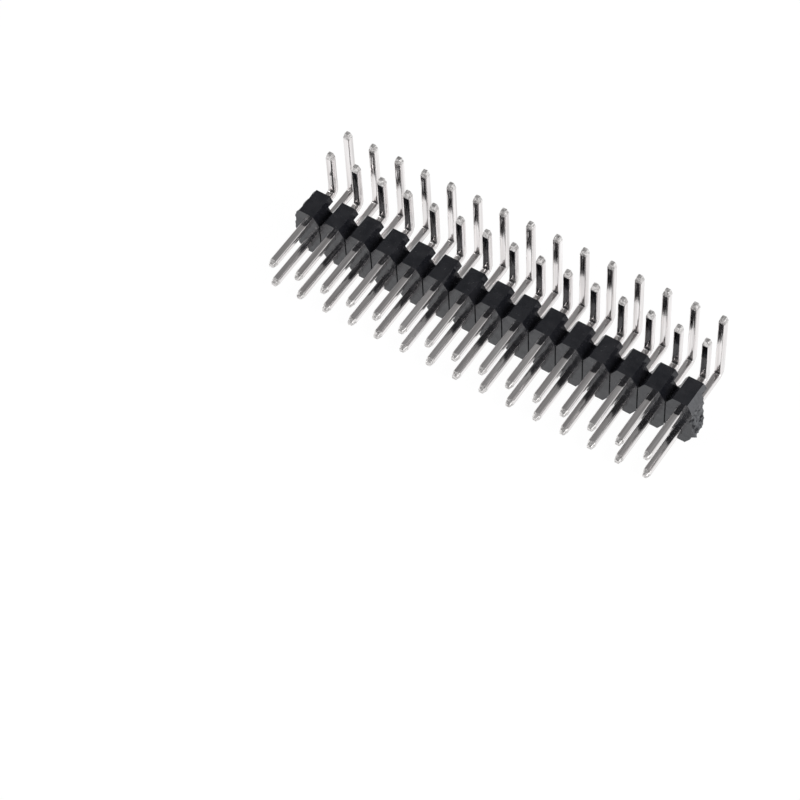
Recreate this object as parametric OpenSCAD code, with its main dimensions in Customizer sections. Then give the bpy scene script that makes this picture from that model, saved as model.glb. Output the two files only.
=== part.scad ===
// Right-angle pin header strip with two rows of pins.
// One moulded housing carries every pin in a square through hole. The mating posts
// point towards -Y and the tails are bent up towards +Z. The strip lies on the
// underside of its housing, and the origin is the centre of that underside.
// Both ends are snapped: the strip was broken from a longer one.

/* [Strip] */
// Number of positions along the strip, with two pins at each
positions = 15; // [2:1:29]
// Distance between neighbouring positions
pitch = 2.54; // [2.3:0.01:3]
// Distance between the two rows of pins
row_pitch = 2.54; // [2.3:0.01:2.8]

/* [Housing] */
// Height of the housing, across both rows
body_height = 5.08; // [4.8:0.02:6]
// Depth of the housing, from the mating face to the rims at the back
body_depth = 2.54; // [2:0.02:4]
// Width of the flat land at the top and the underside of each cell
land_width = 1.34; // [0.9:0.02:1.8]
// Depth of the V notch between two cells
notch_depth = 1; // [0.5:0.05:1.3]
// Width of the split line down the mating face between two cells
split_width = 0.12; // [0.06:0.02:0.3]
// Depth of the split line
split_depth = 0.16; // [0.06:0.02:0.4]
// Height of the rims that run along the top and the bottom of the back
rim_height = 0.48; // [0.3:0.02:0.6]
// Depth of the channel between the two rims
channel_depth = 0.7; // [0.3:0.05:1]

/* [Pins] */
// Width of the square wire
wire_width = 0.64; // [0.5:0.02:0.8]
// Width of the chamfer along the edges of the wire
wire_ease = 0.05; // [0.02:0.01:0.1]
// Gap between a pin and each wall of its hole
hole_gap = 0.01; // [0.005:0.005:0.05]
// Length of a mating post in front of the housing
post_length = 5.2; // [3:0.1:12]
// Height of the tails above the top of the housing
tail_length = 3.7; // [2:0.05:8]
// Distance from the back of the housing to the middle of the near row of tails
tail_setback = 1.4; // [1:0.01:3]
// Distance between the two rows of tails
tail_pitch = 2.54; // [2:0.01:4]
// Radius inside the bend of a pin
bend_radius = 0.2; // [0.1:0.02:0.4]

/* [Pin tips] */
// Length of the taper at each end of a pin
tip_length = 0.5; // [0.3:0.05:1]
// Width left at the very end of the taper
tip_width = 0.4; // [0.26:0.02:0.46]
// Radius where the straight side rolls into the taper
shoulder_radius = 0.6; // [0.2:0.1:1]
// Radius where the taper rolls into the end
nose_radius = 0.1; // [0.04:0.01:0.1]

/* [Snapped ends] */
// How much the roughness of the two snapped ends is exaggerated
tear_depth = 1; // [0.2:0.1:1.5]

/* [Hidden] */
$fn = 48;
// How far a cutter reaches past the face that it opens
overcut = 1;
shoulder_steps = 3;
nose_steps = 4;

strip_length = positions * pitch;
hole_width = wire_width + 2 * hole_gap;
bend_centre = bend_radius + wire_width / 2;
back_face = body_depth / 2;
mating_face = -body_depth / 2;
low_row = body_height / 2 - row_pitch / 2;
high_row = body_height / 2 + row_pitch / 2;
near_tails = back_face + tail_setback;
far_tails = near_tails + tail_pitch;
tail_top = body_height + tail_length;

// The torn webs: how far each end stands proud of its break line (+) or is bitten
// into (-). The first list of each pair goes up the web, as [share of the body height,
// reach], the second goes back from the mating face, as [share of the depth, reach].
right_tear_up = [[0, -0.1], [0.2, -0.06], [0.24, 0.37], [0.33, 0.37], [0.4, 0.1], [0.5, 0.05],
    [0.57, -0.12], [0.64, -0.2], [0.72, -0.04], [0.8, -0.06], [1, -0.06]];
right_tear_back = [[0, 0.1], [0.06, 0.37], [0.2, 0.28], [0.4, 0.26], [0.55, 0.15], [0.72, 0], [1, 0]];
left_tear_up = [[0, 0], [0.2, 0], [0.38, -0.07], [0.55, 0.05], [0.7, -0.06], [0.8, -0.02], [1, -0.02]];
left_tear_back = [[0, -0.02], [0.12, 0.08], [0.3, -0.08], [0.55, -0.1], [0.72, 0], [1, 0]];

function pad2(n) = n < 10 ? str("0", n) : str(n);
function long_name(i) = str("long_pin_", pad2(i + 1));
function short_name(i) = str("short_pin_", pad2(i + 1));
function position_x(i) = (i - (positions - 1) / 2) * pitch;

// ---- Housing ----

// Upper edge of the row of cells, one cell longer than the strip at each end
function cell_crest(z, notch) = [
    for (i = [-1:positions], side = [-1, 1], corner = [0, 1])
        let (outwards = side < 0 ? 1 - corner : corner)
        [position_x(i) + side * (outwards == 1 ? pitch / 2 : land_width / 2),
         outwards == 1 ? z - notch : z]
];

function reversed(list) = [for (i = [len(list) - 1:-1:0]) list[i]];

module cell_row() {
    polygon(concat(cell_crest(body_height, notch_depth), reversed(cell_crest(0, -notch_depth))));
}

// Outline between the two tears, with the strip's length along X
module torn_outline(left_tear, right_tear, start, size) {
    polygon(concat(
        [for (t = right_tear) [strip_length / 2 + t[1] * tear_depth, start + t[0] * size]],
        reversed([for (t = left_tear) [-strip_length / 2 - t[1] * tear_depth, start + t[0] * size]])
    ));
}

module snapped_block() {
    intersection() {
        rotate([90, 0, 0]) linear_extrude(body_depth, center = true) cell_row();
        rotate([90, 0, 0]) linear_extrude(body_depth + overcut, center = true)
            torn_outline(left_tear_up, right_tear_up, 0, body_height);
        translate([0, 0, -overcut / 2]) linear_extrude(body_height + overcut)
            torn_outline(left_tear_back, right_tear_back, mating_face, body_depth);
    }
}

module back_channel() {
    length = strip_length + 2 * pitch;
    translate([-length / 2, back_face - channel_depth, rim_height])
        cube([length, channel_depth + overcut, body_height - 2 * rim_height]);
}

module split_line() {
    translate([-split_width / 2, mating_face - overcut, -overcut])
        cube([split_width, split_depth + overcut, body_height + 2 * overcut]);
}

module pin_hole() {
    cube([hole_width, body_depth + overcut, hole_width], center = true);
}

module housing() {
    color("#1d1d20") difference() {
        snapped_block();
        back_channel();
        for (i = [0:positions - 2]) translate([position_x(i) + pitch / 2, 0, 0]) split_line();
        for (i = [0:positions - 1], z = [low_row, high_row])
            translate([position_x(i), 0, z]) pin_hole();
    }
}

// ---- Pins ----

// Section of the square wire, with its edges eased
module wire_section() {
    flat = wire_width / 2;
    inset = flat - wire_ease;
    polygon([[flat, -inset], [flat, inset], [inset, flat], [-inset, flat],
        [-flat, inset], [-flat, -inset], [-inset, -flat], [inset, -flat]]);
}

// Side view of one half of a pointed bar's end, from the shoulder to the tip
function tip_edge(length) =
    let (
        slope = atan((wire_width - tip_width) / 2 / tip_length),
        shoulder_y = length - tip_length - shoulder_radius * tan(slope / 2),
        nose_x = tip_width / 2 - nose_radius * (1 - sin(slope)) / cos(slope)
    ) concat(
        [for (i = [0:shoulder_steps]) let (a = slope * i / shoulder_steps)
            [wire_width / 2 - shoulder_radius * (1 - cos(a)), shoulder_y + shoulder_radius * sin(a)]],
        [for (i = [0:nose_steps]) let (a = slope + (90 - slope) * i / nose_steps)
            [nose_x + nose_radius * cos(a), length - nose_radius * (1 - sin(a))]]
    );

module tip_outline(length) {
    edge = tip_edge(length);
    polygon(concat([[wire_width / 2, 0]], edge,
        [for (p = reversed(edge)) [-p[0], p[1]]], [[-wire_width / 2, 0]]));
}

// A straight length of wire along +Z from the origin, tapered to a tip on all four sides
module pointed_bar(length) {
    intersection() {
        linear_extrude(length) wire_section();
        rotate([90, 0, 0]) linear_extrude(2 * wire_width, center = true) tip_outline(length);
        rotate([90, 0, 90]) linear_extrude(2 * wire_width, center = true) tip_outline(length);
    }
}

// A pin bent at a right angle: its post lies at the height z, its tail stands at tail_y
module bent_pin(z, tail_y) {
    bend_y = tail_y - bend_centre;
    bend_z = z + bend_centre;
    color("#c9c6c0") {
        translate([0, bend_y, z]) rotate([90, 0, 0]) pointed_bar(bend_y - mating_face + post_length);
        translate([0, bend_y, bend_z]) rotate([90, 0, 90]) rotate([0, 0, -90])
            rotate_extrude(angle = 90) translate([bend_centre, 0]) wire_section();
        translate([0, tail_y, bend_z]) pointed_bar(tail_top - bend_z);
    }
}

module long_pin(i) {
    translate([position_x(i), 0, 0]) bent_pin(low_row, far_tails);
}

module short_pin(i) {
    translate([position_x(i), 0, 0]) bent_pin(high_row, near_tails);
}

housing();
for (i = [0:positions - 1]) {
    long_pin(i);
    short_pin(i);
}
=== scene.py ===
# %% [markdown]
# # A right-angle pin header strip
# This lesson dresses a small electronic part: a black moulded housing that carries
# two rows of tinned pins, each bent at a right angle. It was snapped from a longer
# strip, so both of its ends are torn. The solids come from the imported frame, in
# metres, and they could be shown as they are. Blender adds what a lens sees on the
# real strip: rolled edges, wire that spread where it was bent, rough torn ends,
# drawn metal and glossy plastic.

# %% Load the frame
from math import atan, atan2, cos, hypot, pi, radians, sin, tan

import bpy
from mathutils import Matrix, Vector


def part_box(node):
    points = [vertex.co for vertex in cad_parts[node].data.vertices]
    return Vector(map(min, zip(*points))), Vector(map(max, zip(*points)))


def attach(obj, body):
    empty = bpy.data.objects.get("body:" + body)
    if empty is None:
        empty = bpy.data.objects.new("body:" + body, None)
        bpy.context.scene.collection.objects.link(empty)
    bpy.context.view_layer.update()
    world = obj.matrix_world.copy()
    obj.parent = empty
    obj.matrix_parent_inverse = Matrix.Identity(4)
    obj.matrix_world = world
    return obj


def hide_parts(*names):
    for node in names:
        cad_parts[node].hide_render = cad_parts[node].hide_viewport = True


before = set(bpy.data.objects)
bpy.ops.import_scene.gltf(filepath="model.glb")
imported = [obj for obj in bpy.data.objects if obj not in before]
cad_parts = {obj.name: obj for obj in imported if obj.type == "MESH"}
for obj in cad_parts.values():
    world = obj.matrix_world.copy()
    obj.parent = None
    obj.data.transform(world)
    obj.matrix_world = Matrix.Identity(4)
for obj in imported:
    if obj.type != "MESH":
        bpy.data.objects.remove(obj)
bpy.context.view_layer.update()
MM = 0.001

# %% [markdown]
# ## Driving sizes
# The real strip follows a grid: its positions stand at even distances, and every pin
# is cut from the same square wire. These sizes could be typed in again. They are
# measured on the solids, because then each piece below still fits if the solids
# change.

# %% Measure the solids
first_low, first_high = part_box("long_pin_01")
second_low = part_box("long_pin_02")[0]
housing_low, housing_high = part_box("housing")
WIRE = first_high.x - first_low.x
PITCH = second_low.x - first_low.x
POSITIONS = sum(name.startswith("long_pin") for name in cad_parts)
STRIP_END = POSITIONS * PITCH / 2
print(POSITIONS, "positions,", round(PITCH / MM, 2), "mm apart")
print("wire:", round(WIRE / MM, 2), "mm wide")

# %% [markdown]
# ## Camera
# The strip is looked at from above its mating posts, with a long lens, so that its
# far end is hardly smaller than its near end. The camera could be aimed with a
# constraint, but stated angles are easier to correct one at a time: how far it is
# turned, how far it looks down and how far it leans.

# %% Camera
CAMERA_PLACE = Vector((76.41, -114.82, 191.16)) * MM
CAMERA_TURN = radians(37.12)
CAMERA_DOWN = radians(55.45)
CAMERA_LEAN = radians(-4.28)
CAMERA_LENS = 129.5
NEAREST_SEEN = 10 * MM
FARTHEST_SEEN = 10000 * MM

bpy.ops.object.camera_add()
camera = bpy.context.object
camera.data.lens = CAMERA_LENS
camera.data.clip_start = NEAREST_SEEN
camera.data.clip_end = FARTHEST_SEEN
camera.matrix_world = (
    Matrix.Translation(CAMERA_PLACE)
    @ Matrix.Rotation(CAMERA_TURN, 4, "Z")
    @ Matrix.Rotation(radians(90) - CAMERA_DOWN, 4, "X")
    @ Matrix.Rotation(CAMERA_LEAN, 4, "Z")
)
bpy.context.scene.camera = camera
bpy.context.scene.view_settings.view_transform = "Standard"
print("camera at", [round(v / MM, 1) for v in CAMERA_PLACE], "mm")

# %% [markdown]
# ## The light
# Bright pins are mirrors, so they show the room more than they show their own
# colour. Small parts are lit in a tent of white cloth. It is white at the sides, and
# it is open overhead, where the dim room shows. Flat tops mirror that opening, so
# they turn grey, while each rolled edge catches the bright cloth as a thin line.
# Lamps alone would give the pins black sides, so the tent is the world itself, and
# two lamps only give the light a direction.

# %% World
OPENING_TOWARDS = Vector((-0.48, -0.25, 0.84)).normalized()
OPENING_INNER = cos(radians(20))
OPENING_OUTER = cos(radians(92))
OPENING_LIGHT = 0.15
CLOTH_LIGHT = 1.0
WHITE = (1, 1, 1, 1)


def link(tree, source, target):
    tree.links.new(source, target)


world = bpy.data.worlds.new("white_tent")
bpy.context.scene.world = world
world.use_nodes = True
tent = world.node_tree
direction = tent.nodes.new("ShaderNodeTexCoord")
facing = tent.nodes.new("ShaderNodeVectorMath")
facing.operation = "DOT_PRODUCT"
facing.inputs[1].default_value = OPENING_TOWARDS
fade = tent.nodes.new("ShaderNodeMapRange")
fade.interpolation_type = "SMOOTHSTEP"
fade.inputs["From Min"].default_value = OPENING_OUTER
fade.inputs["From Max"].default_value = OPENING_INNER
fade.inputs["To Min"].default_value = CLOTH_LIGHT
fade.inputs["To Max"].default_value = OPENING_LIGHT
link(tent, direction.outputs["Generated"], facing.inputs[0])
link(tent, facing.outputs["Value"], fade.inputs["Value"])
link(tent, fade.outputs["Result"], tent.nodes["Background"].inputs["Strength"])
tent.nodes["Background"].inputs["Color"].default_value = WHITE
print("world:", world.name)

# %% Lamps
LAMP_SIZE = 300 * MM
LAMP_POWER = 1.2


def add_lamp(name, place):
    """A square soft box that faces the middle of the strip; the place is in mm."""
    place = Vector(place) * MM
    bpy.ops.object.light_add(type="AREA", location=place)
    lamp = bpy.context.object
    lamp.name = name
    lamp.rotation_euler = (-place).to_track_quat("-Z", "Y").to_euler()
    lamp.data.size = LAMP_SIZE
    lamp.data.energy = LAMP_POWER
    return lamp


lamps = [
    add_lamp("left_softbox", (-450, -180, 360)),
    add_lamp("right_softbox", (480, -120, 330)),
]
print("lamps:", [lamp.name for lamp in lamps])

# %% [markdown]
# ## The table
# The strip lies on a white table that looks as bright as the tent. A table of plain
# light would be easy, but nothing would cast a shadow on it. A mirror also has to
# show the same white table that the camera sees. So a part of the table glows for
# camera, glossy and transmission rays, and the rest of it is plain matt white, which
# keeps the strip's soft shadow.

# %% Table
TABLE_SIZE = 4000 * MM


def deselect_all():
    bpy.ops.object.select_all(action="DESELECT")


deselect_all()
bpy.ops.mesh.primitive_plane_add(size=TABLE_SIZE)
table = bpy.context.object
table.name = "table"
print("table:", table.name)

# %% White of the table
TABLE_WHITE = (0.85, 0.85, 0.85, 1)
TABLE_ROUGHNESS = 0.7
TABLE_GLOW = 0.94
GLOW_LIGHT = 1.03


def new_material(name):
    material = bpy.data.materials.new(name)
    material.use_nodes = True
    tree = material.node_tree
    return material, tree, tree.nodes["Principled BSDF"]


def feed(tree, socket, value):
    """Links an output to an input socket, or gives the input a plain value."""
    if isinstance(value, bpy.types.NodeSocket):
        link(tree, value, socket)
    else:
        socket.default_value = value


def calculate(tree, operation, first, second=0):
    """A Math node; first and second are outputs or numbers."""
    node = tree.nodes.new("ShaderNodeMath")
    node.operation = operation
    feed(tree, node.inputs[0], first)
    feed(tree, node.inputs[1], second)
    return node.outputs[0]


white, tree, matt = new_material("white_table")
matt.inputs["Base Color"].default_value = TABLE_WHITE
matt.inputs["Roughness"].default_value = TABLE_ROUGHNESS
matt.inputs["Specular IOR Level"].default_value = 0
glow = tree.nodes.new("ShaderNodeEmission")
glow.inputs["Strength"].default_value = GLOW_LIGHT
rays = tree.nodes.new("ShaderNodeLightPath")
seen = calculate(tree, "MAXIMUM", rays.outputs["Is Camera Ray"], rays.outputs["Is Glossy Ray"])
seen = calculate(tree, "MAXIMUM", seen, rays.outputs["Is Transmission Ray"])
blend = tree.nodes.new("ShaderNodeMixShader")
link(tree, calculate(tree, "MULTIPLY", seen, TABLE_GLOW), blend.inputs["Fac"])
link(tree, matt.outputs["BSDF"], blend.inputs[1])
link(tree, glow.outputs["Emission"], blend.inputs[2])
link(tree, blend.outputs["Shader"], tree.nodes["Material Output"].inputs["Surface"])
table.data.materials.append(white)
print("finish:", white.name)

# %% [markdown]
# ## Two effects that the finishes share
# Nothing on the strip is quite even: gloss, colour and height all wander a little,
# at sizes from a twentieth of a millimetre up. Each finish could have its own tangle
# of noise nodes. It is easier to keep one node group, "uneven", which takes a place
# and a size in millimetres and wanders between a low and a high value. A second
# group, "specks", keeps only the peaks of such a noise, for scuffs and pits.

# %% The uneven group
def new_group(name, inputs, output):
    """A node group with a Place input, the number inputs given, and one output."""
    group = bpy.data.node_groups.new(name, "ShaderNodeTree")
    group.interface.new_socket("Place", in_out="INPUT", socket_type="NodeSocketVector")
    for socket, value in inputs:
        made = group.interface.new_socket(socket, in_out="INPUT", socket_type="NodeSocketFloat")
        made.default_value = value
    group.interface.new_socket(output, in_out="OUTPUT", socket_type="NodeSocketFloat")
    return group, group.nodes.new("NodeGroupInput"), group.nodes.new("NodeGroupOutput")


def noise_of_size(group, given):
    """Noise whose blotches are as large as the group's Size, in millimetres."""
    noise = group.nodes.new("ShaderNodeTexNoise")
    link(group, given.outputs["Place"], noise.inputs["Vector"])
    link(group, calculate(group, "DIVIDE", 1 / MM, given.outputs["Size"]), noise.inputs["Scale"])
    link(group, given.outputs["Detail"], noise.inputs["Detail"])
    return noise.outputs["Fac"]


# The noise seldom leaves this range, which is therefore spread from Low to High.
NOISE_LOW = 0.3
NOISE_HIGH = 0.7
UNEVEN_INPUTS = (("Size", 0.1), ("Detail", 2), ("Low", 0), ("High", 1))

uneven, given, made = new_group("uneven", UNEVEN_INPUTS, "Value")
spread = uneven.nodes.new("ShaderNodeMapRange")
spread.inputs["From Min"].default_value = NOISE_LOW
spread.inputs["From Max"].default_value = NOISE_HIGH
link(uneven, noise_of_size(uneven, given), spread.inputs["Value"])
link(uneven, given.outputs["Low"], spread.inputs["To Min"])
link(uneven, given.outputs["High"], spread.inputs["To Max"])
link(uneven, spread.outputs["Result"], made.inputs["Value"])
print("group:", uneven.name)

# %% The specks group
SPECK_EDGE = 0.06
SPECKS_INPUTS = (("Size", 0.1), ("Detail", 2), ("Threshold", 0.65))

specks, given, made = new_group("specks", SPECKS_INPUTS, "Mask")
full_speck = calculate(specks, "ADD", given.outputs["Threshold"], SPECK_EDGE)
peaks = specks.nodes.new("ShaderNodeMapRange")
link(specks, noise_of_size(specks, given), peaks.inputs["Value"])
link(specks, given.outputs["Threshold"], peaks.inputs["From Min"])
link(specks, full_speck, peaks.inputs["From Max"])
link(specks, peaks.outputs["Result"], made.inputs["Mask"])
print("group:", specks.name)

# %% [markdown]
# ## Moulded plastic
# The housing is black glass-filled nylon or polyester. It comes out of a polished
# mould, so it is glossy, but it shrinks a little unevenly: its faces are not
# perfectly flat, and what they mirror is slightly bent. Handling leaves a few dull
# scuffs. One flat black would look like a hole, so the colour is a near-black that
# wanders towards blue-grey, and the gloss wanders with it.

# %% Colour of the plastic
DEEP_BLACK = (0.0078, 0.0084, 0.0115, 1)
BLUE_BLACK = (0.0195, 0.0197, 0.0233, 1)
SCUFFED_BLACK = (0.019, 0.0195, 0.023, 1)
# A Mix node keeps its two colour inputs and its colour output at these places.
MIX_COLOUR_A = 6
MIX_COLOUR_B = 7
MIX_COLOUR_OUT = 2


def use_group(tree, group, place, **values):
    """Places a group in a material and gives its output."""
    node = tree.nodes.new("ShaderNodeGroup")
    node.node_tree = group
    link(tree, place, node.inputs["Place"])
    for name, value in values.items():
        node.inputs[name].default_value = value
    return node.outputs[0]


def blend_colours(tree, share, first, second):
    """Goes from the first colour to the second; each is an output or an RGBA colour."""
    node = tree.nodes.new("ShaderNodeMix")
    node.data_type = "RGBA"
    link(tree, share, node.inputs["Factor"])
    feed(tree, node.inputs[MIX_COLOUR_A], first)
    feed(tree, node.inputs[MIX_COLOUR_B], second)
    return node.outputs[MIX_COLOUR_OUT]


plastic, tree, shader = new_material("moulded_plastic")
place = tree.nodes.new("ShaderNodeTexCoord").outputs["Object"]

cloud = use_group(tree, uneven, place, Size=1.2, Detail=5)
scuff = use_group(tree, specks, place, Size=0.3, Detail=5, Threshold=0.66)
deep = blend_colours(tree, cloud, DEEP_BLACK, BLUE_BLACK)
link(tree, blend_colours(tree, scuff, deep, SCUFFED_BLACK), shader.inputs["Base Color"])
print("finish:", plastic.name)

# %% Gloss and relief of the plastic
COOL_GLOSS = (0.93, 0.95, 1, 1)
PLASTIC_IOR = 1.5
SCUFF_DULLS = 0.15
SINK_HEIGHT = 0.018
GRAIN_HEIGHT = 0.0015


def raise_surface(tree, shader, heights):
    """Adds up heights in millimetres and feeds them to the shader as one bump."""
    total = heights[0]
    for height in heights[1:]:
        total = calculate(tree, "ADD", total, height)
    bump = tree.nodes.new("ShaderNodeBump")
    bump.inputs["Strength"].default_value = 1
    bump.inputs["Distance"].default_value = MM
    link(tree, total, bump.inputs["Height"])
    link(tree, bump.outputs["Normal"], shader.inputs["Normal"])


shader.inputs["IOR"].default_value = PLASTIC_IOR
shader.inputs["Specular Tint"].default_value = COOL_GLOSS
gloss = use_group(tree, uneven, place, Size=0.6, Detail=4, Low=0.09, High=0.28)
dulled = calculate(tree, "MULTIPLY", scuff, SCUFF_DULLS)
link(tree, calculate(tree, "ADD", gloss, dulled), shader.inputs["Roughness"])
sink = use_group(tree, uneven, place, Size=1.1, Detail=1, High=SINK_HEIGHT)
grain = use_group(tree, uneven, place, Size=0.25, Detail=2, High=GRAIN_HEIGHT)
raise_surface(tree, shader, [sink, grain])
print("plastic nodes:", len(tree.nodes))

# %% [markdown]
# ## Torn plastic
# Where the strip was snapped, the plastic tore. It is stress-whitened to a dull grey and
# has no gloss left. The web between two cells was ripped, so it is lumpy and full of pits,
# while the slanted flanks above and below it only sheared and are nearly even. In the
# even light of the tent the bump alone gives the lumps little shade, so their shade is
# painted into the colour: darker between the lumps, paler on them, and near-black in the
# pits. Two materials could do it. One is simpler here, because it knows how high a point
# lies and fades from ripped to sheared where the web ends.

# %% Colour and painted shade of the torn plastic
WEB_MIDDLE = (housing_low.z + housing_high.z) / 2
WEB_REACH = (1.45, 1.6)
# Each dark and pale pair is the grey of the stress-whitened plastic, shaded and lit: painted
# shade between the lumps, painted light on them.
RIPPED_DARK = (0.07, 0.072, 0.078, 1)
RIPPED_PALE = (0.2, 0.203, 0.213, 1)
SHEARED_DARK = (0.1, 0.102, 0.109, 1)
SHEARED_PALE = (0.125, 0.127, 0.135, 1)
# Painted shade: the near-black that stands for the shade inside the pits.
PAINTED_PIT_SHADE = (0.016, 0.016, 0.019, 1)
TORN_SHINE = 0.25


def near(tree, distance, reach):
    """1 up to the first distance of the reach, in mm, fading to 0 at the second."""
    node = tree.nodes.new("ShaderNodeMapRange")
    node.interpolation_type = "SMOOTHSTEP"
    node.inputs["From Min"].default_value = reach[0] * MM
    node.inputs["From Max"].default_value = reach[1] * MM
    node.inputs["To Min"].default_value = 1
    node.inputs["To Max"].default_value = 0
    link(tree, distance, node.inputs["Value"])
    return node.outputs["Result"]


torn, tree, shader = new_material("torn_plastic")
shader.inputs["Specular IOR Level"].default_value = TORN_SHINE
place = tree.nodes.new("ShaderNodeTexCoord").outputs["Object"]

height_up = tree.nodes.new("ShaderNodeSeparateXYZ")
link(tree, place, height_up.inputs["Vector"])
from_middle = calculate(tree, "SUBTRACT", height_up.outputs["Z"], WEB_MIDDLE)
on_web = near(tree, calculate(tree, "ABSOLUTE", from_middle), WEB_REACH)

# Painted shade: nearly the same noise as the lumps below, so the colour is darker between the
# lumps and paler on them.
lump_shade = use_group(tree, uneven, place, Size=0.3, Detail=5)
pit = use_group(tree, specks, place, Size=0.5, Detail=4, Threshold=0.55)
sheared = blend_colours(tree, lump_shade, SHEARED_DARK, SHEARED_PALE)
ripped = blend_colours(tree, lump_shade, RIPPED_DARK, RIPPED_PALE)
# Painted shade: the pits, which the bump also sinks, are filled with near-black for the shade
# inside them.
pit_shaded = blend_colours(tree, pit, ripped, PAINTED_PIT_SHADE)
link(tree, blend_colours(tree, on_web, sheared, pit_shaded), shader.inputs["Base Color"])
print("finish:", torn.name)

# %% Relief of the torn plastic
LUMP_HEIGHT = 0.1
PIT_DEPTH = 0.05
FIBRE_HEIGHT = 0.006
FLANK_SHARE = 0.3

ragged = use_group(tree, uneven, place, Size=0.15, Detail=3, Low=0.45, High=0.75)
link(tree, ragged, shader.inputs["Roughness"])
lumps = use_group(tree, uneven, place, Size=0.3, Detail=4, High=LUMP_HEIGHT)
fibres = use_group(tree, uneven, place, Size=0.05, Detail=2, High=FIBRE_HEIGHT)
hollows = calculate(tree, "MULTIPLY", pit, PIT_DEPTH)
relief = calculate(tree, "SUBTRACT", lumps, hollows)
share = calculate(tree, "MAXIMUM", on_web, FLANK_SHARE)
raise_surface(tree, shader, [calculate(tree, "MULTIPLY", relief, share), fibres])
print("torn plastic nodes:", len(tree.nodes))

# %% [markdown]
# ## Tinned wire
# The pins are brass wire under bright tin. Drawing leaves fine streaks along the
# wire, so the noise is stretched along it. A pattern on plain object coordinates
# would run across the tails, because they stand at a right angle to the posts. Each
# pin therefore carries its own map, written below: where each point would lie if the
# wire were straight again, and how far it is from both tips and from the bend. The
# cut tips and the strained bend are rougher, and the tips are greyer too.

# %% Tinned wire
STREAK_STRETCH = 0.025
TIP_REACH = (0.42, 0.6)
BEND_REACH = (0.3, 0.6)
# A corner lies far out both ways, so its reach runs from the far end to the near.
CORNER_REACH = (0.28, 0.2)


def read_map(tree, name):
    node = tree.nodes.new("ShaderNodeAttribute")
    node.attribute_name = name
    return node.outputs["Vector"]


tin, tree, shader = new_material("tinned_wire")
shader.inputs["Metallic"].default_value = 1
wire_place = read_map(tree, "straight_wire")
stretch = tree.nodes.new("ShaderNodeMapping")
stretch.inputs["Scale"].default_value = (1, STREAK_STRETCH, 1)
link(tree, wire_place, stretch.inputs["Vector"])
streak_place = stretch.outputs["Vector"]

distances = tree.nodes.new("ShaderNodeSeparateXYZ")
link(tree, read_map(tree, "distances"), distances.inputs["Vector"])
post_tip = near(tree, distances.outputs["X"], TIP_REACH)
tail_tip = near(tree, distances.outputs["Y"], TIP_REACH)
tip = calculate(tree, "MAXIMUM", post_tip, tail_tip)
bend = near(tree, distances.outputs["Z"], BEND_REACH)

section = tree.nodes.new("ShaderNodeSeparateXYZ")
link(tree, wire_place, section.inputs["Vector"])
across = calculate(tree, "ABSOLUTE", section.outputs["X"])
through = calculate(tree, "ABSOLUTE", section.outputs["Z"])
corner = near(tree, calculate(tree, "MINIMUM", across, through), CORNER_REACH)
print("finish:", tin.name)

# %% Colour and gloss of the tin
STREAK_GREY = (0.54, 0.52, 0.52, 1)
STREAK_WHITE = (1, 0.98, 0.98, 1)
STAINED_TIN = (0.8, 0.75, 0.74, 1)
CUT_GREY = (0.34, 0.33, 0.325, 1)
CUT_WHITE = (1, 0.98, 0.97, 1)
TIP_DULLS = 0.36
BEND_DULLS = 0.1
CORNER_DULLS = 0.2

broad_streak = use_group(tree, uneven, streak_place, Size=0.33, Detail=3)
fine_streak = use_group(tree, uneven, streak_place, Size=0.06, Detail=2)
stain = use_group(tree, uneven, wire_place, Size=3, Detail=4, High=0.5)
frost = use_group(tree, uneven, wire_place, Size=0.17, Detail=4)
cool_tin = blend_colours(tree, broad_streak, STREAK_GREY, STREAK_WHITE)
warm_tin = blend_colours(tree, stain, cool_tin, STAINED_TIN)
cut_metal = blend_colours(tree, frost, CUT_GREY, CUT_WHITE)
link(tree, blend_colours(tree, tip, warm_tin, cut_metal), shader.inputs["Base Color"])

roughness = use_group(tree, uneven, streak_place, Size=0.09, Detail=2, Low=0.04, High=0.14)
dull_places = ((tip, TIP_DULLS), (bend, BEND_DULLS), (corner, CORNER_DULLS))
for mask, dulls in dull_places:
    dulled = calculate(tree, "MULTIPLY", mask, dulls)
    roughness = calculate(tree, "ADD", roughness, dulled)
link(tree, roughness, shader.inputs["Roughness"])
print("dull places of the tin:", len(dull_places))

# %% Relief of the tin
BROAD_HEIGHT = 0.013
FINE_HEIGHT = 0.0015
PEEL_HEIGHT = 0.008
BEND_PEEL_SHARE = 0.7

broad_relief = calculate(tree, "MULTIPLY", broad_streak, BROAD_HEIGHT)
fine_relief = calculate(tree, "MULTIPLY", fine_streak, FINE_HEIGHT)
orange_peel = use_group(tree, uneven, wire_place, Size=0.14, Detail=3, High=PEEL_HEIGHT)
worked_bend = calculate(tree, "MULTIPLY", bend, BEND_PEEL_SHARE)
worked = calculate(tree, "MAXIMUM", tip, worked_bend)
worked_peel = calculate(tree, "MULTIPLY", orange_peel, worked)
raise_surface(tree, shader, [broad_relief, fine_relief, worked_peel])
print("tin nodes:", len(tree.nodes))

# %% [markdown]
# ## The housing
# The real housing is one moulding with a row of cells. The solid has the right form,
# but each of its edges is knife-sharp. A mould leaves a tiny radius, and that radius
# is what draws a light line round each cell. The solid's mesh is loose triangles, so
# a copy is merged and its flat faces are joined first. Then one Bevel rounds every
# edge at once, which is quicker and more even than rounding cell by cell.

# %% Copy the housing
MERGE = 0.001 * MM
FLAT_WITHIN = radians(0.5)


def choose(piece):
    """Selects one piece alone and makes it the active one."""
    deselect_all()
    piece.select_set(True)
    bpy.context.view_layer.objects.active = piece


def edit(piece):
    """Opens edit mode on one piece alone."""
    bpy.ops.object.mode_set(mode="OBJECT")
    choose(piece)
    bpy.ops.object.mode_set(mode="EDIT")


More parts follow.
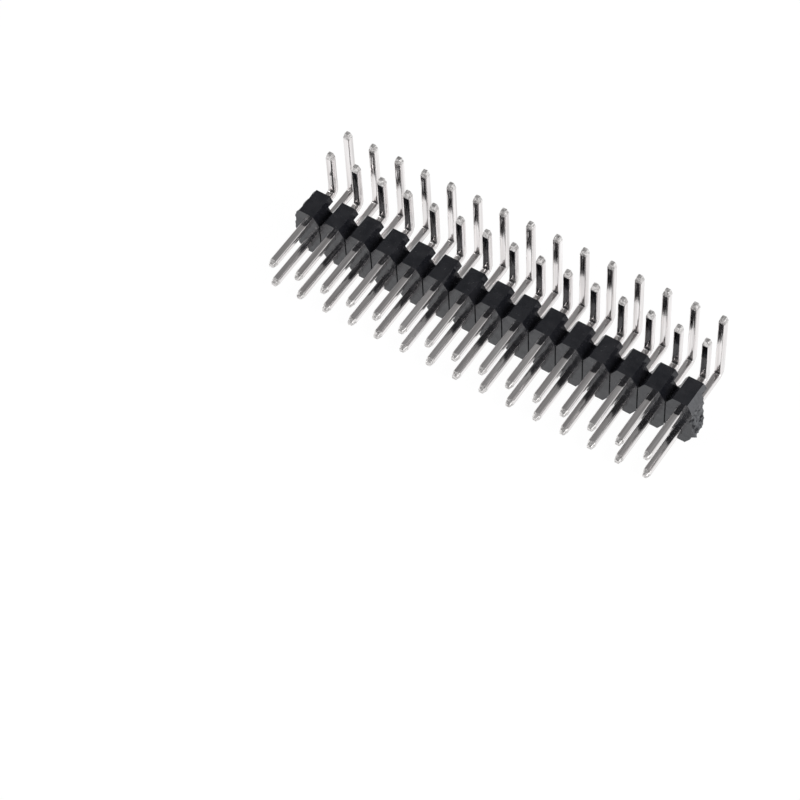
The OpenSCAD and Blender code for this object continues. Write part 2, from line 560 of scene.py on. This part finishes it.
housing = bpy.data.objects.new("moulded_housing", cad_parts["housing"].data.copy())
bpy.context.scene.collection.objects.link(housing)
choose(housing)
housing.data.materials.clear()
housing.data.materials.append(plastic)
housing.data.materials.append(torn)
edit(housing)
bpy.ops.mesh.select_all(action="SELECT")
bpy.ops.mesh.remove_doubles(threshold=MERGE)
bpy.ops.mesh.dissolve_limited(angle_limit=FLAT_WITHIN)
bpy.ops.object.mode_set(mode="OBJECT")
print("housing, merged:", len(housing.data.polygons), "faces")

# %% Round the moulded edges
SHARP_FROM = radians(30)
MOULD_RADIUS = 0.035 * MM
MOULD_SEGMENTS = 2


def apply_modifier(piece, kind, name, **settings):
    modifier = piece.modifiers.new(name, kind)
    for setting, value in settings.items():
        setattr(modifier, setting, value)
    choose(piece)
    bpy.ops.object.modifier_apply(modifier=name)


apply_modifier(
    housing,
    "BEVEL",
    "mould_radius",
    width=MOULD_RADIUS,
    segments=MOULD_SEGMENTS,
    limit_method="ANGLE",
    angle_limit=SHARP_FROM,
)
print("housing, rounded:", len(housing.data.polygons), "faces")

# %% [markdown]
# ## The torn ends
# Each end was a web between two cells until it was snapped. The solid has the rough
# outline of the tear, and its faces are still large and flat. They are diced into
# small faces with a row of bisecting planes each way, which keeps the dice even,
# where subdividing long triangles would leave slivers. Displace modifiers then push
# them in and out along the strip. A web gets broad lumps first and fine crumbs after
# them, and a flank gets only one gentle tear.

# %% Find the torn faces
# A flank slants down into the notch beside it, so the notch tells how it faces.
NOTCH_WIDTH = 0.6 * MM
NOTCH_DEPTH = 1 * MM
FLANK_FACING = NOTCH_DEPTH / hypot(NOTCH_WIDTH, NOTCH_DEPTH)
FACING_TOLERANCE = 0.02
TORN_FROM = 0.22 * MM
TORN_FACING = 0.35


def select_faces(piece, wanted):
    """Leaves edit mode open on a piece, with only the wanted faces selected."""
    edit(piece)
    bpy.ops.mesh.select_mode(type="FACE")
    bpy.ops.mesh.select_all(action="DESELECT")
    bpy.ops.object.mode_set(mode="OBJECT")
    for face in piece.data.polygons:
        face.select = wanted(face)
    bpy.ops.object.mode_set(mode="EDIT")


def is_flank(side):
    """Tells whether a face is a slanted flank of the last cell on one side, -1 or 1."""
    return lambda face: (
        face.center.x * side > STRIP_END - NOTCH_WIDTH
        and abs(face.normal.x * side - FLANK_FACING) < FACING_TOLERANCE
        and abs(face.normal.y) < FACING_TOLERANCE
    )


def is_web(side):
    """Tells whether a face belongs to the ripped web on one side, -1 or 1."""
    return lambda face: (
        face.center.x * side > STRIP_END - TORN_FROM
        and face.normal.x * side > TORN_FACING
        and not is_flank(side)(face)
    )


TORN_PARTS = {
    "left_web": is_web(-1),
    "right_web": is_web(1),
    "left_flank": is_flank(-1),
    "right_flank": is_flank(1),
}
for name, wanted in TORN_PARTS.items():
    print(name, "before dicing:", sum(map(wanted, housing.data.polygons)), "faces")

# %% Dice the torn ends
DICE = 0.09 * MM


def steps_between(start, end):
    """Places that cut a length into equal steps of about one die."""
    count = int((end - start) / DICE)
    return [start + (end - start) * i / count for i in range(1, count)]


def dice(wanted):
    """Cuts the wanted faces of the housing with level and upright planes."""
    for up in steps_between(housing_low.z, housing_high.z):
        select_faces(housing, wanted)
        bpy.ops.mesh.bisect(plane_co=(0, 0, up), plane_no=(0, 0, 1))
    for back in steps_between(housing_low.y, housing_high.y):
        select_faces(housing, wanted)
        bpy.ops.mesh.bisect(plane_co=(0, back, 0), plane_no=(0, 1, 0))
    bpy.ops.object.mode_set(mode="OBJECT")


for wanted in TORN_PARTS.values():
    dice(wanted)
print("housing, diced:", len(housing.data.polygons), "faces")

# %% Mark the torn faces
TORN_SLOT = 1

housing.active_material_index = TORN_SLOT
for name, wanted in TORN_PARTS.items():
    housing.vertex_groups.new(name=name)
    select_faces(housing, wanted)
    bpy.ops.object.vertex_group_assign()
    bpy.ops.object.material_slot_assign()
bpy.ops.object.mode_set(mode="OBJECT")
print("groups:", [group.name for group in housing.vertex_groups])

# %% Tear the ends
LUMP_SIZE = 0.45 * MM
CRUMB_SIZE = 0.16 * MM
MOSTLY_IN = 0.62
IN_AND_OUT = 0.55


def tear(group, size, height, middle):
    """Pushes the vertices of one group in and out, along the strip."""
    bumps = bpy.data.textures.new(group, "CLOUDS")
    bumps.noise_scale = size
    apply_modifier(
        housing,
        "DISPLACE",
        group,
        texture=bumps,
        texture_coords="LOCAL",
        vertex_group=group,
        direction="X",
        mid_level=middle,
        strength=height,
    )


tear("left_web", LUMP_SIZE, -0.3 * MM, MOSTLY_IN)
tear("left_web", CRUMB_SIZE, -0.08 * MM, MOSTLY_IN)
tear("left_flank", LUMP_SIZE, -0.3 * MM, IN_AND_OUT)
tear("right_flank", CRUMB_SIZE, 0.12 * MM, MOSTLY_IN)
tear("right_web", LUMP_SIZE, 0.4 * MM, MOSTLY_IN)
tear("right_web", CRUMB_SIZE, 0.22 * MM, MOSTLY_IN)
torn_faces = [face for face in housing.data.polygons if face.material_index == TORN_SLOT]
print("torn faces:", len(torn_faces))

# %% Place the housing
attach(housing, "root")
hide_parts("housing")
print("placed:", housing.name)

# %% [markdown]
# ## One pin
# A real pin is a length of square wire with rolled edges, pointed at both ends and
# bent at a right angle. A curve with a bevel profile would be quick, but its points
# would be blunt and its corner would pinch. So one small rounded square is pulled
# along like the wire itself: out of the taper, straight on, round the bend by
# spinning it, and up to the tip of the tail. Each step extrudes the ring before it,
# and the taper is only a matter of resizing each new ring.

# %% Sizes of the tips
TIP_LENGTH = 0.5 * MM
TIP_WIDTH = 0.4 * MM
NOSE_RADIUS = 0.06 * MM
NOSE_STEPS = 4
SHOULDER_RADIUS = 0.25 * MM
SHOULDER_STEPS = 3


def tip_rings():
    """From the end inwards: (distance from the end, width there)."""
    slope = atan((WIRE - TIP_WIDTH) / 2 / TIP_LENGTH)
    nose = TIP_WIDTH / 2 - NOSE_RADIUS * (1 - sin(slope)) / cos(slope)
    rings = []
    for step in range(NOSE_STEPS + 1):
        a = pi / 2 - (pi / 2 - slope) * step / NOSE_STEPS
        rings.append((NOSE_RADIUS * (1 - sin(a)), 2 * (nose + NOSE_RADIUS * cos(a))))
    for step in range(SHOULDER_STEPS + 1):
        a = slope * (1 - step / SHOULDER_STEPS)
        distance = TIP_LENGTH + SHOULDER_RADIUS * (tan(slope / 2) - sin(a))
        rings.append((distance, WIRE - 2 * SHOULDER_RADIUS * (1 - cos(a))))
    return rings


TIP_RINGS = tip_rings()
print("tip:", len(TIP_RINGS), "rings")

# %% Sizes of the bend
BEND_RADIUS = 0.2 * MM
BEND_CENTRE = BEND_RADIUS + WIRE / 2
BEND_STEPS = 10
RINGS_BY_BEND = [0.8 * MM, 0.55 * MM, 0.35 * MM, 0.2 * MM, 0.08 * MM]


def bend_axis(node):
    """The point that the wire of a CAD node is bent round, as x, y and z."""
    low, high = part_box(node)
    x = (low.x + high.x) / 2
    return x, high.y - WIRE / 2 - BEND_CENTRE, low.z + WIRE / 2 + BEND_CENTRE


print("first bend round:", [round(v / MM, 2) for v in bend_axis("long_pin_01")], "mm")

# %% Start the wire
ROLL_RADIUS = 0.12 * MM
ROLL_SEGMENTS = 4


def resize(scale, centre, **settings):
    bpy.ops.transform.resize(value=scale, center_override=centre, **settings)


def start_wire(name, x, y, z):
    """A rounded square at the tip of a post, facing along the wire."""
    deselect_all()
    bpy.ops.mesh.primitive_plane_add(size=WIRE, location=(x, y, z), rotation=(pi / 2, 0, 0))
    pin = bpy.context.object
    pin.name = name
    bpy.ops.object.transform_apply(location=True, rotation=True, scale=True)
    edit(pin)
    bpy.ops.mesh.select_all(action="SELECT")
    bpy.ops.mesh.bevel(offset=ROLL_RADIUS, segments=ROLL_SEGMENTS, affect="VERTICES")
    return pin


print("flat between the rolled edges:", round((WIRE - 2 * ROLL_RADIUS) / MM, 2), "mm")

# %% Pull the wire
def pull(by):
    bpy.ops.mesh.extrude_region_move(TRANSFORM_OT_translate={"value": by})


def pull_wire(name, node):
    """Models the pin that stands for a CAD node, from its post to its tail."""
    low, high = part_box(node)
    x, bend_y, bend_z = bend_axis(node)
    z = low.z + WIRE / 2
    tail_y = high.y - WIRE / 2
    pin = start_wire(name, x, low.y, z)
    width = TIP_RINGS[0][1]
    resize((width / WIRE, 1, width / WIRE), (x, low.y, z))
    place = low.y
    for distance, ring_width in TIP_RINGS[1:]:
        pull((0, low.y + distance - place, 0))
        place = low.y + distance
        scale = ring_width / width
        resize((scale, 1, scale), (x, place, z))
        width = ring_width
    for before in RINGS_BY_BEND + [0]:
        pull((0, bend_y - before - place, 0))
        place = bend_y - before
    bpy.ops.mesh.spin(
        steps=BEND_STEPS, angle=pi / 2, center=(x, bend_y, bend_z), axis=(-1, 0, 0)
    )
    place = bend_z
    for after in reversed(RINGS_BY_BEND):
        pull((0, 0, bend_z + after - place))
        place = bend_z + after
    for distance, ring_width in reversed(TIP_RINGS):
        pull((0, 0, high.z - distance - place))
        place = high.z - distance
        scale = ring_width / width
        resize((scale, scale, 1), (x, tail_y, place))
        width = ring_width
    bpy.ops.mesh.select_all(action="SELECT")
    bpy.ops.mesh.remove_doubles(threshold=MERGE)
    bpy.ops.mesh.normals_make_consistent(inside=False)
    bpy.ops.object.mode_set(mode="OBJECT")
    return pin


long_wire = pull_wire("long_wire_01", "long_pin_01")
short_wire = pull_wire("short_wire_01", "short_pin_01")
print("pin:", len(long_wire.data.polygons), "faces")

# %% [markdown]
# ## The strained bend
# When square wire is bent, its inside is squeezed and spreads sideways, so the pin
# is a little wider there than its legs are. A lattice could swell it, but the swelling
# is small. So the inner edge of the bend is selected by its place and resized across
# the wire with proportional editing, which fades it out along both legs, as on the
# real wire.

# %% Spread the inside of the bend
SPREAD = 1.07
SPREAD_REACH = 0.45 * MM


def spread_bend(pin, node):
    """Widens a pin at its bend and tells its half width there."""
    centre = Vector(bend_axis(node))
    edit(pin)
    bpy.ops.mesh.select_mode(type="VERT")
    bpy.ops.mesh.select_all(action="DESELECT")
    bpy.ops.object.mode_set(mode="OBJECT")
    for vertex in pin.data.vertices:
        from_centre = hypot(vertex.co.y - centre.y, vertex.co.z - centre.z)
        vertex.select = from_centre < BEND_RADIUS + ROLL_RADIUS
    bpy.ops.object.mode_set(mode="EDIT")
    resize(
        (SPREAD, 1, 1),
        centre,
        use_proportional_edit=True,
        proportional_edit_falloff="SMOOTH",
        proportional_size=SPREAD_REACH,
    )
    bpy.ops.object.mode_set(mode="OBJECT")
    return max(vertex.co.x for vertex in pin.data.vertices) - centre.x


MODELS = ((long_wire, "long_pin_01"), (short_wire, "short_pin_01"))
for pin, node in MODELS:
    print(pin.name, "half width at the bend:", round(spread_bend(pin, node) / MM, 3), "mm")

# %% [markdown]
# ## The map of the wire
# This is the map that the tin reads. Unwrapping the pin would give a flat map with
# seams, and the streaks would break at each of them. Instead each point is unbent:
# how far it lies across the wire, along it and through it. Along the legs that is a
# plain subtraction, and round the bend it is an angle times the radius of the wire's
# middle. How far a point is from both tips and from the bend follows from that.

# %% Write the map
def unbend(point, post_tip, axis):
    """Where a point would lie if the wire were straight: across, along, through."""
    x, bend_y, bend_z = axis
    across = point.x - x
    back = point.y - bend_y
    up = point.z - bend_z
    straight = bend_y - post_tip
    if back <= 0:
        return Vector((across, straight + back, BEND_CENTRE + up))
    if up >= 0:
        return Vector((across, straight + pi / 2 * BEND_CENTRE + up, BEND_CENTRE - back))
    angle = atan2(back, -up)
    return Vector((across, straight + angle * BEND_CENTRE, BEND_CENTRE - hypot(back, up)))


def write_map(pin, node):
    """Stores where each point lies on the straight wire; tells the wire's length."""
    low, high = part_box(node)
    axis = bend_axis(node)
    _, bend_y, bend_z = axis
    bend_middle = bend_y - low.y + pi / 4 * BEND_CENTRE
    whole = bend_y - low.y + pi / 2 * BEND_CENTRE + high.z - bend_z
    straight = pin.data.attributes.new("straight_wire", "FLOAT_VECTOR", "POINT")
    distances = pin.data.attributes.new("distances", "FLOAT_VECTOR", "POINT")
    for vertex in pin.data.vertices:
        place = unbend(vertex.co, low.y, axis)
        from_bend = abs(place.y - bend_middle)
        straight.data[vertex.index].vector = place
        distances.data[vertex.index].vector = (place.y, whole - place.y, from_bend)
    return whole


for pin, node in MODELS:
    print(pin.name, "wire length:", round(write_map(pin, node) / MM, 2), "mm")

# %% [markdown]
# ## Shading and copies
# The rolled edges are smooth, but the flats between them have to stay flat. Plain
# smooth shading would make the flats look like pillows, so a Weighted Normal
# modifier lets the large faces win. Each row then repeats one pin at every position.
# Every copy gets its own mesh and its own stretch of the drawn streaks.

# %% Shade the pins
SMOOTH_BELOW = radians(50)
FLAT_FACE_WEIGHT = 80


def shade_pin(pin):
    choose(pin)
    bpy.ops.object.shade_smooth_by_angle(angle=SMOOTH_BELOW)
    pin.data.materials.append(tin)
    apply_modifier(
        pin,
        "WEIGHTED_NORMAL",
        "flat_faces",
        mode="FACE_AREA",
        weight=FLAT_FACE_WEIGHT,
        keep_sharp=True,
    )


for pin, node in MODELS:
    shade_pin(pin)
    print("shaded:", pin.name)

# %% Copy the pins
# A copy reads its streaks this much further on for each wire's width it has moved.
NEXT_STRETCH = 13 * MM


def copy_pin(model, name, by):
    """A pin with its own mesh and its own streaks, moved along the strip."""
    choose(model)
    bpy.ops.object.duplicate_move(TRANSFORM_OT_translate={"value": (by, 0, 0)})
    pin = bpy.context.object
    pin.name = name
    bpy.ops.object.transform_apply(location=True, rotation=True, scale=True)
    further = Vector((0, by / WIRE * NEXT_STRETCH, 0))
    for item in pin.data.attributes["straight_wire"].data:
        item.vector = item.vector + further
    return pin


pins = []
for kind, model in (("long", long_wire), ("short", short_wire)):
    first_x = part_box(f"{kind}_pin_01")[0].x
    for number in range(1, POSITIONS + 1):
        node = f"{kind}_pin_{number:02d}"
        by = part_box(node)[0].x - first_x
        pin = model if number == 1 else copy_pin(model, f"{kind}_wire_{number:02d}", by)
        pins.append((pin, node))
print("pins:", len(pins))

# %% Place the pins
for pin, node in pins:
    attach(pin, "root")
    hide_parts(node)
print("placed:", pins[0][0].name, "to", pins[-1][0].name)
